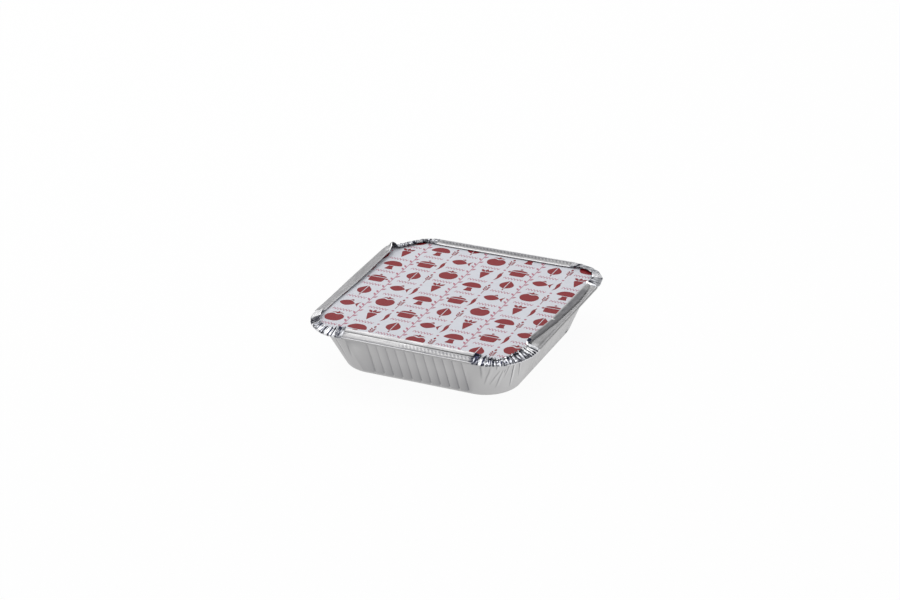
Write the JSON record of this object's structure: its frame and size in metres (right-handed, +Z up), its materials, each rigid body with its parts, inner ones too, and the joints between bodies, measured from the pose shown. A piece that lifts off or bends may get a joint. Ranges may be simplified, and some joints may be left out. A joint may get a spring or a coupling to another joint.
{
  "type": "foil food container",
  "caption": "Square pressed aluminium foil tray with fluted walls and a printed board lid held under its folded, pleated rim.",
  "frame": {"origin": "middle of the base's flat foot ring, on the surface that the container stands on", "axes": "+Z up, -Y towards the side whose folded lip stands highest off the lid"},
  "size_m": [0.23, 0.23, 0.0563],
  "materials": {
    "foil": "satin, bright in the pleats",
    "board": "coated white board",
    "ink": "matt burgundy ink",
    "pale_ink": "matt pale burgundy ink"
  },
  "bodies": {
    "root": {"foil_tray": "foil", "board_lid": "board", "lid_print": "ink", "lid_rules": "pale_ink"}
  },
  "joints": []
}
